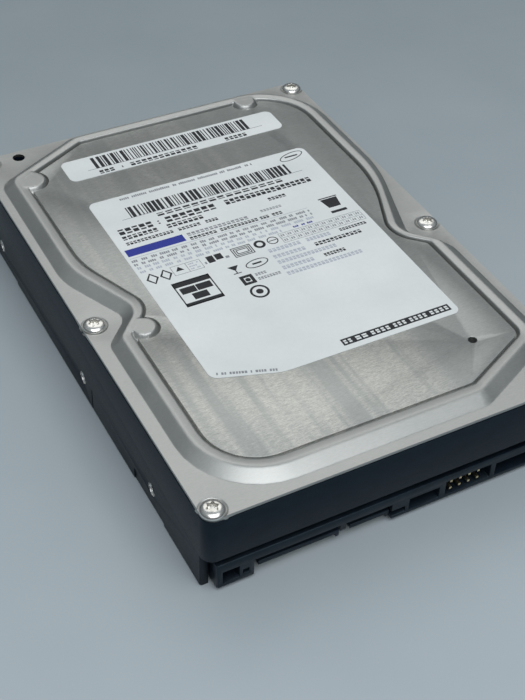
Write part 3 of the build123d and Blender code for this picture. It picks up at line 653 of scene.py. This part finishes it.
def screws(name, node, places, seat, sizes, up=1):
    """One piece with a screw at every place, in place of the CAD node."""
    bm = bmesh.new()
    for x, y in places:
        pan_screw(bm, x, y, seat, *sizes, up=up)
    piece = to_object(name, bm, MATERIALS["screw_steel"], smooth=40)
    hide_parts(node)


def thread_liner(bm, place, inward, outer, depth, steps=36, levels=56):
    """Bare metal thread in a blind hole: a sleeve whose inside follows a helix."""
    pitch, crest, run_in, clear = 0.794, 0.12, 0.5, 0.02
    side = inward.orthogonal().normalized()
    other = inward.cross(side)

    def ring(radius, along):
        points = []
        for k in range(steps):
            angle = 2 * math.pi * k / steps
            r = radius(angle)
            points.append(place + inward * along + (side * math.cos(angle) + other * math.sin(angle)) * r)
        return points

    def helix(angle, along):
        entry = min(1.0, along / run_in)
        return outer - crest / 2 - entry * (crest + crest * math.cos(angle - 2 * math.pi * along / pitch))

    rings = [ring(lambda a: outer - clear, clear)]
    for level in range(levels + 1):
        along = clear + (depth - 5 * clear) * level / levels
        rings.append(ring(lambda a: helix(a, along), along))
    rings.append(ring(lambda a: outer - clear, depth - 2.5 * clear))
    rings.append(rings[0])
    bridge(bm, rings)


def mounting_threads():
    """Thread in the six side holes and the four bottom holes."""
    bm = bmesh.new()
    half_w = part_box("base_casting")[1].x / MM
    radius, side_depth, bottom_depth = 1.75, 5.0, 6.0
    for side in (-1, 1):
        for y in SIDE_HOLES_Y:
            place = Vector((side * half_w, y, SIDE_HOLE_Z))
            thread_liner(bm, place, Vector((-side, 0, 0)), radius, side_depth)
    for x, y in BOTTOM_HOLES:
        thread_liner(bm, Vector((x, y, 0)), Vector((0, 0, 1)), radius, bottom_depth)
    bmesh.ops.remove_doubles(bm, verts=bm.verts, dist=1e-5)
    to_object("mounting_threads", bm, BARE_ALLOY, smooth=60)


# ---- Underside of the circuit board ----
def lead(bm, root, out, width):
    """A gull-wing lead, from a package's side up to the board's lower face."""
    side = Vector((-out.y, out.x, 0)) * (width / 2)
    thick = Vector((0, 0, 0.05))
    rows = []
    for along, below in LEAD_BENDS:
        centre = root + out * along - Vector((0, 0, below))
        low, high = centre - thick, centre + thick
        rows.append([low - side, low + side, high + side, high - side])
    capped_bridge(bm, rows)


def chamfered_block(bm, x0, x1, y0, y1, z0, z1, edge):
    """A block whose lower edges are cut back."""
    rows = []
    for inset, z in ((edge, z0), (0, z0 + edge), (0, z1)):
        left, right, front, back = x0 + inset, x1 - inset, y0 + inset, y1 - inset
        rows.append([(left, front, z), (right, front, z), (right, back, z), (left, back, z)])
    capped_bridge(bm, rows)


def lead_places():
    """Every lead's root on its package's side, the way it points and its pitch."""
    places = []
    for x, y, size_x, size_y, on_x, on_y in PACKAGES:
        sides = ((Vector((1, 0, 0)), on_x, size_x / 2, size_y), (Vector((0, 1, 0)), on_y, size_y / 2, size_x))
        for out, count, half, run in sides:
            along = Vector((out.y, out.x, 0))
            for index in range(count):
                shift = ((index + 0.5) / count - 0.5) * run * LEAD_PITCH_SHARE
                for way in (-1, 1):
                    root = Vector((x, y, BOARD_BOTTOM)) + out * (way * half) + along * shift
                    places.append((root, out * way, run * LEAD_PITCH_SHARE / count))
    return places


def clear_of_parts(x, y):
    """Is this place on the board, away from packages, screws, the motor and the corner cut out for it?"""
    motor_y, motor_r, screw_r = 22, 19.5, 4
    on_board = -42.5 < x < 42.5 and -62 < y < 48 and not (y > 9 and x < 12)
    if not on_board or math.hypot(x, y - motor_y) < motor_r:
        return False
    parts = [(row, 1.3) for row in PACKAGES] + [(row, 0.8) for row in CAPPED_PARTS]
    for (px, py, size_x, size_y, *_), margin in parts:
        if abs(x - px) < size_x / 2 + margin and abs(y - py) < size_y / 2 + margin:
            return False
    return all(math.hypot(x - sx, y - sy) > screw_r for sx, sy in BOARD_SCREWS)


def strip(bm, points, width):
    """A flat track of copper through points, just under the board."""
    for a, b in zip(points, points[1:]):
        run = (b - a).normalized()
        side = Vector((-run.y, run.x)) * (width / 2)
        a, b = a - run * (width / 2), b + run * (width / 2)
        corners = (a - side, b - side, b + side, a + side)
        capped_bridge(bm, [[(*p, BOARD_BOTTOM - drop) for p in corners] for drop in (TRACK_HEIGHT, MASK_GAP)])


def via(bm, x, y, outer, inner):
    """A plated ring round a small hole."""
    low, high = BOARD_BOTTOM - VIA_HEIGHT, BOARD_BOTTOM - MASK_GAP
    lathe(bm, [(inner, high), (inner, low), (outer, low), (outer, high)], x, y, 16)


def solder_land(bm, root, out, pitch):
    """The board's pad under one lead."""
    side = Vector((-out.y, out.x, 0)) * (pitch * 0.3)
    a, b = root + out * LAND_START - side, root + out * LAND_END + side
    low = BOARD_BOTTOM - LAND_HEIGHT
    chamfered_block(bm, *sorted((a.x, b.x)), *sorted((a.y, b.y)), low, BOARD_BOTTOM, 0.02)


def fan_out(tracks, pads, root, out, pitch, dice):
    """A track from a lead's pad to a via, where there is room for it."""
    at, way = (root + out * LAND_END).xy, out.xy
    points = [at]
    for turn in (0, dice.choice((-45, 45)), 0):
        step = Matrix.Rotation(math.radians(turn), 2) @ way
        at = at + step * dice.uniform(0.8, 3.4)
        points.append(at)
    if all(clear_of_parts(*p) for p in points[1:]):
        strip(tracks, points, min(0.2, pitch * 0.3))
        via(pads, *points[-1], 0.3, 0.13)


def scattered_tracks(tracks, pads, dice, tries=240):
    """Short tracks, vias and test pads on the open parts of the board."""
    slant = 0.7071
    for _ in range(tries):
        x, y = dice.uniform(-42, 42), dice.uniform(-62, 48)
        if clear_of_parts(x, y):
            start = Vector((x, y))
            way = Vector(dice.choice(((1, 0), (0, 1), (slant, slant), (slant, -slant))))
            finish = start + way * dice.uniform(2, 9)
            if clear_of_parts(*finish) and clear_of_parts(*((start + finish) / 2)):
                strip(tracks, [start, finish], 0.22)
                via(pads, *finish, 0.32, 0.14)
            via(pads, x, y, dice.choice((0.32, 0.32, 0.55)), 0.14)


def metal_ends(bm):
    """The plated ends of the capacitors and diodes, a hair larger than the part."""
    grow, end, edge = 0.03, 0.38, 0.12
    for x, y, length, width, height in CAPPED_PARTS:
        for way in (-1, 1):
            inner, outer = x + way * (length / 2 - end), x + way * (length / 2 + grow)
            chamfered_block(
                bm, *sorted((inner, outer)), y - width / 2 - grow, y + width / 2 + grow,
                BOARD_BOTTOM - height - 0.02, BOARD_BOTTOM, edge,
            )


def board_details():
    """Leads, their pads, tracks that run out to vias, test pads, screw lands and metal ends."""
    leads, pads, tracks = bmesh.new(), bmesh.new(), bmesh.new()
    dice = random.Random(5)
    for root, out, pitch in lead_places():
        lead(leads, root, out, min(0.3, pitch * 0.45))
        solder_land(pads, root, out, pitch)
        fan_out(tracks, pads, root, out, pitch, dice)
    scattered_tracks(tracks, pads, dice)
    ring = [(2.5, BOARD_BOTTOM), (2.5, BOARD_BOTTOM - 0.03), (3.3, BOARD_BOTTOM - 0.04), (3.35, BOARD_BOTTOM)]
    for x, y in BOARD_SCREWS:
        lathe(pads, ring, x, y, 40)
    metal_ends(pads)
    to_object("board_leads", leads, SOLDER)
    to_object("board_pads", pads, SOLDER)
    to_object("board_tracks", tracks, TRACE_MASK)


# ---- Label print: bars, blocks and plain shapes only ----
class Print:
    """Printing on a label, one thin closed shape at a time, kept by ink."""

    INK_BOTTOM = LABEL_TOP + 0.001
    INK_TOP = LABEL_TOP + 0.012

    def __init__(self):
        self.sheets = {}
        self.dice = random.Random(11)

    def polygon(self, ink_name, points):
        bm = self.sheets.setdefault(ink_name, bmesh.new())
        low = [bm.verts.new((x, y, self.INK_BOTTOM)) for x, y in points]
        high = [bm.verts.new((x, y, self.INK_TOP)) for x, y in points]
        bm.faces.new(low[::-1])
        bm.faces.new(high)
        for k in range(len(points)):
            after = (k + 1) % len(points)
            bm.faces.new((low[k], low[after], high[after], high[k]))

    def bar(self, ink_name, x0, x1, y0, y1):
        self.polygon(ink_name, ((x0, y0), (x1, y0), (x1, y1), (x0, y1)))

    def frame(self, ink_name, x0, x1, y0, y1, width):
        self.bar(ink_name, x0, x1, y0, y0 + width)
        self.bar(ink_name, x0, x1, y1 - width, y1)
        self.bar(ink_name, x0, x0 + width, y0 + width, y1 - width)
        self.bar(ink_name, x1 - width, x1, y0 + width, y1 - width)

    def ring(self, ink_name, x, y, rx, ry, width, tilt=0.0, start=0.0, end=360.0, steps=28):
        """An ellipse's outline, whole or from start to end degrees."""
        turn = Matrix.Rotation(math.radians(tilt), 2)
        for k in range(steps):
            a, b = (math.radians(start + (end - start) * (k + j) / steps) for j in (0, 1))
            quad = [(rx, ry, a), (rx, ry, b), (rx - width, ry - width, b), (rx - width, ry - width, a)]
            points = [turn @ Vector((p * math.cos(t), q * math.sin(t))) for p, q, t in quad]
            self.polygon(ink_name, [(x + p.x, y + p.y) for p in points])

    def disc(self, ink_name, x, y, r, steps=24):
        self.polygon(ink_name, [tuple(p) for p in circle(x, y, r, steps)])

    def mark(self, ink_name, x0, x1, y0, y1, slit):
        """A block that stands for a character: two bars, split level at one of three heights."""
        split = y0 + (y1 - y0) * self.dice.choice((0.34, 0.5, 0.66))
        self.bar(ink_name, x0, x1, y0, split - slit / 2)
        self.bar(ink_name, x0, x1, split + slit / 2, y1)

    def word(self, ink_name, x0, x1, y0, y1, count, weight=0.2):
        """Marks side by side, count of them, with a slit of weight times their pitch."""
        pitch = (x1 - x0) / count
        space = 0.12 * pitch
        for k in range(count):
            left = x0 + k * pitch
            self.mark(ink_name, left + space, left + pitch - space, y0, y1, weight * pitch)

    def small_print(self, ink_name, x0, x1, y0, y1, longest=3.2):
        """A row of groups of dashes of uneven height, too small to show characters."""
        pitch, dash = 0.55, 0.42
        x = x0
        while x < x1 - 0.6:
            end = min(x + self.dice.uniform(1.0, longest), x1)
            for start in [x + pitch * k for k in range(int((end - x) / pitch))]:
                top = y0 + (y1 - y0) * self.dice.uniform(0.75, 1.0)
                self.bar(ink_name, start, start + dash, y0, top)
            x = end + pitch

    def barcode(self, x0, x1, y0, y1, modules):
        """Bars of one to three modules, with a thin guard line at their foot."""
        module = (x1 - x0) / modules
        at = 0
        while at < modules - 3:
            wide = self.dice.choice((1, 1, 2, 3))
            self.bar("black_ink", x0 + at * module, x0 + (at + wide) * module, y0, y1)
            at += wide + self.dice.choice((1, 1, 2))
        self.bar("grey_ink", x0 - 2.6, x1 + 2.6, y0 - 0.05, y0 + 0.12)

    def write(self, inks):
        for ink_name, bm in sorted(self.sheets.items()):
            to_object("label_print_" + ink_name, bm, inks[ink_name])


def strip_label_print(p):
    p.barcode(-22.3, 26.7, 54.0, 59.5, 150)
    p.word("black_ink", -22.4, -17.8, 51.2, 52.8, 3)
    p.bar("black_ink", -15.6, -15.3, 51.5, 52.4)
    p.word("black_ink", -13.2, 7.6, 51.2, 52.8, 12)
    p.word("black_ink", 16.2, 23.2, 51.2, 52.8, 5)


def main_label_heading(p):
    p.small_print("grey_ink", -22.5, 17.7, 37.2, 38.2, 7.0)
    p.ring("black_ink", 29.2, 36.3, 4.0, 1.65, 0.28, tilt=14)
    p.bar("black_ink", 27.2, 31.2, 36.05, 36.6)
    p.barcode(-22.8, 26.1, 28.8, 33.6, 150)
    p.word("black_ink", -16.5, 21.6, 26.4, 27.8, 15, 0.16)
    p.word("black_ink", -28.7, -18.8, 22.9, 25.3, 5, 0.24)
    p.bar("black_ink", -17.4, -16.9, 23.2, 23.7)
    p.bar("black_ink", -17.4, -16.9, 24.2, 24.7)
    p.word("black_ink", -15.3, -0.5, 22.9, 25.3, 7, 0.24)
    p.word("black_ink", 2.3, 28.7, 23.2, 25.3, 17, 0.22)
    p.word("black_ink", -28.7, -18.6, 20.5, 22.1, 7, 0.22)
    p.word("black_ink", -16.1, -5.5, 20.5, 22.1, 7, 0.22)
    p.word("black_ink", 13.5, 18.9, 19.9, 21.2, 5, 0.22)
    for x0, x1, count in ((-28.7, -15.3, 13), (-14.0, -7.5, 6), (-6.1, -2.4, 4)):
        p.word("black_ink", x0, x1, 18.2, 19.4, count, 0.24)


def main_label_middle(p):
    p.bar("blue_ink", -30.2, -14.0, 13.6, 16.5)
    p.word("grey_ink", -12.9, 5.0, 15.1, 16.4, 14, 0.2)
    p.word("grey_ink", 9.1, 15.5, 16.2, 17.1, 7, 0.22)
    for x0, x1, count in ((-12.9, -5.1, 7), (-4.2, 7.0, 11), (7.6, 10.3, 3), (11.2, 14.3, 3)):
        p.word("black_ink", x0, x1, 13.3, 14.5, count, 0.24)
    p.bar("pale_ink", -30.3, 21.2, 12.6, 12.75)
    for y in (11.0, 9.45):
        p.small_print("grey_ink", -30.3, 21.3, y, y + 1.0)
    p.small_print("pale_ink", -30.1, 21.3, 7.85, 8.9)
    p.small_print("pale_ink", -30.1, 10.8, 6.2, 7.2)
    p.small_print("blue_ink", 13.7, 20.7, 6.4, 7.2)


def main_label_shapes(p):
    """Plain outlines and blocks where the label carries its small symbols."""
    for x in (-28.3, -24.6):
        p.ring("black_ink", x, 3.0, 1.7, 2.3, 0.6, steps=4)
    p.frame("grey_ink", -22.7, -14.5, 1.5, 5.3, 0.14)
    p.bar("grey_ink", -18.6, -18.45, 1.5, 5.3)
    p.polygon("black_ink", ((-21.8, 3.0), (-19.6, 3.0), (-20.7, 4.7)))
    for y in (2.2, 3.2, 4.2):
        p.small_print("pale_ink", -18.0, -15.0, y, y + 0.5)
    p.bar("black_ink", -12.8, -10.9, 2.5, 5.2)
    p.bar("black_ink", -10.5, -8.5, 2.9, 5.2)
    p.bar("grey_ink", -13.8, -13.3, 2.5, 3.4)
    p.bar("grey_ink", -8.0, -7.0, 2.5, 3.4)
    for inset in (0.0, 0.55, 1.1):
        p.frame("black_ink", -5.7 + inset, -0.1 - inset, 1.5 + inset, 5.4 - inset, 0.26)
    p.ring("black_ink", 2.3, 4.0, 1.6, 1.6, 0.75)
    p.ring("black_ink", 6.1, 4.0, 1.55, 1.55, 0.3)
    p.bar("black_ink", 5.0, 7.2, 3.85, 4.15)
    p.frame("grey_ink", 8.5, 33.2, 1.7, 5.8, 0.12)
    p.bar("grey_ink", 8.5, 33.2, 3.7, 3.82)
    cells = 12
    cell = (33.2 - 8.5) / cells
    for k in range(cells):
        p.bar("grey_ink", 8.5 + k * cell, 8.6 + k * cell, 1.7, 5.8)
        for y in (2.3, 4.35):
            p.bar("grey_ink", 9.0 + k * cell, 9.35 + k * cell, y, y + 0.9)
            p.bar("grey_ink", 9.6 + k * cell, 9.95 + k * cell, y, y + 0.9)
    p.word("black_ink", 24.0, 32.2, -0.2, 0.9, 9, 0.22)
    p.polygon("black_ink", ((26.6, 10.0), (30.2, 10.0), (30.9, 14.0), (25.9, 14.0)))
    p.bar("black_ink", 25.6, 31.2, 14.3, 14.7)
    p.bar("black_ink", 26.1, 30.8, 7.5, 8.5)


def main_label_foot(p):
    p.frame("black_ink", -25.2, -15.0, -10.8, -1.0, 0.35)
    p.bar("black_ink", -25.2, -15.0, -3.0, -1.0)
    p.bar("black_ink", -25.2, -15.0, -10.8, -9.5)
    for x, y in ((-24.2, -6.0), (-19.9, -6.0), (-22.1, -8.9)):
        p.bar("black_ink", x, x + 4.1, y, y + 2.4)
    p.polygon("black_ink", ((-9.7, -1.2), (-6.7, -1.2), (-8.2, -3.2)))
    p.bar("black_ink", -9.3, -7.1, -4.4, -4.1)
    p.bar("black_ink", -8.35, -8.05, -4.1, -3.1)
    p.ring("black_ink", -1.9, -2.6, 3.3, 1.6, 0.3, tilt=6)
    p.bar("black_ink", -3.2, -0.6, -2.9, -2.3)
    p.frame("black_ink", -8.8, -5.3, -9.5, -5.8, 0.9)
    p.disc("black_ink", -7.05, -7.65, 0.7)
    p.word("grey_ink", -4.6, -1.4, -7.2, -6.2, 4, 0.22)
    p.word("grey_ink", -4.6, 1.8, -9.0, -8.0, 8, 0.22)
    p.ring("black_ink", -6.5, -12.95, 2.5, 2.5, 0.6)
    p.disc("black_ink", -6.5, -12.95, 0.95)
    for y, x1 in ((-0.4, 12.3), (-3.1, 12.3), (-5.5, 20.1), (-8.0, 12.1), (-10.5, 24.9)):
        p.word("pale_ink", 2.9, x1, y, y + 1.4, int((x1 - 2.9) / 1.05), 0.16)
    p.word("pale_ink", 14.0, 21.2, -0.4, 1.0, 7, 0.16)
    p.word("black_ink", 15.1, 29.1, -3.0, -1.6, 12, 0.24)
    p.word("black_ink", 15.1, 21.4, -7.9, -6.6, 7, 0.24)


def dark_bar(p):
    """The dark bar at the label's foot, with a row of plain light blocks cut out of it."""
    x0, x1, y0, y1 = 2.1, 32.6, -39.7, -37.4
    edge, gap, block, slit = 0.5, 0.5, 1.25, (-38.62, -38.45)
    p.bar("black_ink", x0, x1, y0, y0 + edge)
    p.bar("black_ink", x0, x1, y1 - edge, y1)
    at = x0
    for length in (2.6, 0.7, 3.6, 0.7, 5.6, 0.7, 3.9, 0.7, 5.2, 0.7, 5.6):
        count = max(1, int(length / block)) if length > 1 else 0
        if not count:
            p.bar("black_ink", at, at + length, y0 + edge, y1 - edge)
            at += length
            continue
        pitch = length / count
        for k in range(count):
            p.bar("black_ink", at + k * pitch, at + k * pitch + gap, y0 + edge, y1 - edge)
            p.bar("black_ink", at + k * pitch + gap, at + (k + 1) * pitch, *slit)
        at += length
    p.bar("black_ink", at, x1, y0 + edge, y1 - edge)


def slanted_small_print(p):
    """A slanting row of dashes along the label's cut foot."""
    height = 0.8
    start, end = Vector((-29.6, -35.5)), Vector((-16.2, -40.3))
    along = (end - start).normalized()
    across = Vector((-along.y, along.x))
    at = 0.0
    while at < (end - start).length:
        length = p.dice.uniform(0.35, 0.6)
        a = start + along * at
        b = a + along * length
        corners = (a, b, b + across * height, a + across * height)
        p.polygon("grey_ink", [tuple(c) for c in corners])
        at += length + p.dice.choice((0.2, 0.2, 0.2, 0.8))


def label_print():
    p = Print()
    strip_label_print(p)
    main_label_heading(p)
    main_label_middle(p)
    main_label_shapes(p)
    main_label_foot(p)
    dark_bar(p)
    slanted_small_print(p)
    p.write({"black_ink": BLACK_INK, "grey_ink": GREY_INK, "pale_ink": PALE_INK, "blue_ink": BLUE_INK})


# ---- Camera, floor and light ----
def camera():
    """Looks down on the near left corner, with distance and target in millimetres."""
    azimuth, elevation, roll = math.radians(-29.10), math.radians(41.97), math.radians(2.03)
    distance, focal = 342.7, 66.71
    target = Vector((-2.3, -7.8, 0.0))
    back = Vector((math.sin(azimuth) * math.cos(elevation), -math.cos(azimuth) * math.cos(elevation),
                   math.sin(elevation)))
    right = Vector((0, 0, 1)).cross(back).normalized()
    up = back.cross(right)
    turned_right = right * math.cos(roll) + up * math.sin(roll)
    turned_up = up * math.cos(roll) - right * math.sin(roll)
    data = bpy.data.cameras.new("camera")
    data.lens = focal
    data.sensor_width = 36
    data.clip_start = 0.01
    piece = bpy.data.objects.new("camera", data)
    piece.matrix_world = Matrix.Translation((target + back * distance) * MM) @ Matrix(
        (turned_right, turned_up, back)).transposed().to_4x4()
    bpy.context.scene.collection.objects.link(piece)
    bpy.context.scene.camera = piece


def area_light(name, place, aim, size, power, colour):
    data = bpy.data.lights.new(name, "AREA")
    data.shape = "RECTANGLE"
    data.size, data.size_y = size
    data.energy = power
    data.color = colour
    piece = bpy.data.objects.new(name, data)
    piece.location = place
    piece.rotation_euler = (Vector(aim) - Vector(place)).to_track_quat("-Z", "Y").to_euler()
    bpy.context.scene.collection.objects.link(piece)


def lighting():
    """A wide soft source above the camera's side, a weaker one behind, and a room brighter above."""
    area_light("overhead", (-0.10, -0.55, 0.95), (0, -0.05, 0), (1.1, 0.9), 7.5, (0.97, 0.985, 1.0))
    area_light("window", (0.35, 0.75, 1.05), (0, 0, 0), (1.2, 0.8), 3.2, (1.0, 0.985, 0.95))
    world = bpy.data.worlds.new("studio")
    world.use_nodes = True
    nodes, links = world.node_tree.nodes, world.node_tree.links
    height = nodes.new("ShaderNodeSeparateXYZ")
    links.new(nodes.new("ShaderNodeTexCoord").outputs["Generated"], height.inputs["Vector"])
    ramp = nodes.new("ShaderNodeMapRange")
    links.new(height.outputs["Z"], ramp.inputs["Value"])
    for socket, value in (("From Min", 0.1), ("From Max", 0.9), ("To Min", 0.16), ("To Max", 0.62)):
        ramp.inputs[socket].default_value = value
    background = nodes["Background"]
    background.inputs["Color"].default_value = (0.60, 0.66, 0.70, 1)
    links.new(ramp.outputs["Result"], background.inputs["Strength"])
    bpy.context.scene.world = world


def floor():
    """A plain pale card whose colour carries painted light: lighter towards the camera, dimmer away from it.
    """
    look = Look("floor_card", Specular_IOR_Level=0.3)
    mottle = look.noise((0.02, 0.02, 0.02), detail=3)
    fine = look.noise((2.0, 2.0, 2.0), detail=4)
    clouds = look.span(mottle, 0.3, 0.7)
    # Painted light: a dimmer colour away from the camera and a brighter one towards it, blended along the
    # ramp below.
    painted_shade_colour = look.colour(clouds, (0.275, 0.325, 0.350), (0.295, 0.345, 0.370))
    near = look.colour(clouds, (0.435, 0.490, 0.525), (0.460, 0.515, 0.550))
    painted_light_ramp = look.math("SUBTRACT", look.math("MULTIPLY", look.axis("X"), -0.3), look.axis("Y"))
    colour = look.colour(look.span(painted_light_ramp, -170.0, 150.0), painted_shade_colour, near)
    material = look.finish(colour, look.span(fine, 0.3, 0.7, 0.6, 0.7), look.bump(fine, 0.01))
    bm = bmesh.new()
    bmesh.ops.create_grid(bm, x_segments=8, y_segments=8, size=3.0)
    mesh = bpy.data.meshes.new("floor")
    bm.to_mesh(mesh)
    bm.free()
    piece = bpy.data.objects.new("floor", mesh)
    bpy.context.scene.collection.objects.link(piece)
    mesh.materials.append(material)


bpy.context.scene.view_settings.view_transform = "Standard"
dress_nodes()
pressed_cover()
screws("cover_screw_detail", "cover_screws", COVER_SCREWS, FLANGE_TOP - SEAT_DEPTH, PAN_HEAD)
screws("board_screw_detail", "board_screws", BOARD_SCREWS, BOARD_BOTTOM, BOARD_PAN_HEAD, up=-1)
mounting_threads()
board_details()
for node, width in (("damper_plate", 0.12), ("base_casting", 0.3), ("connector_block", 0.12)):
    refined(node, width)
label_print()
camera()
lighting()
floor()
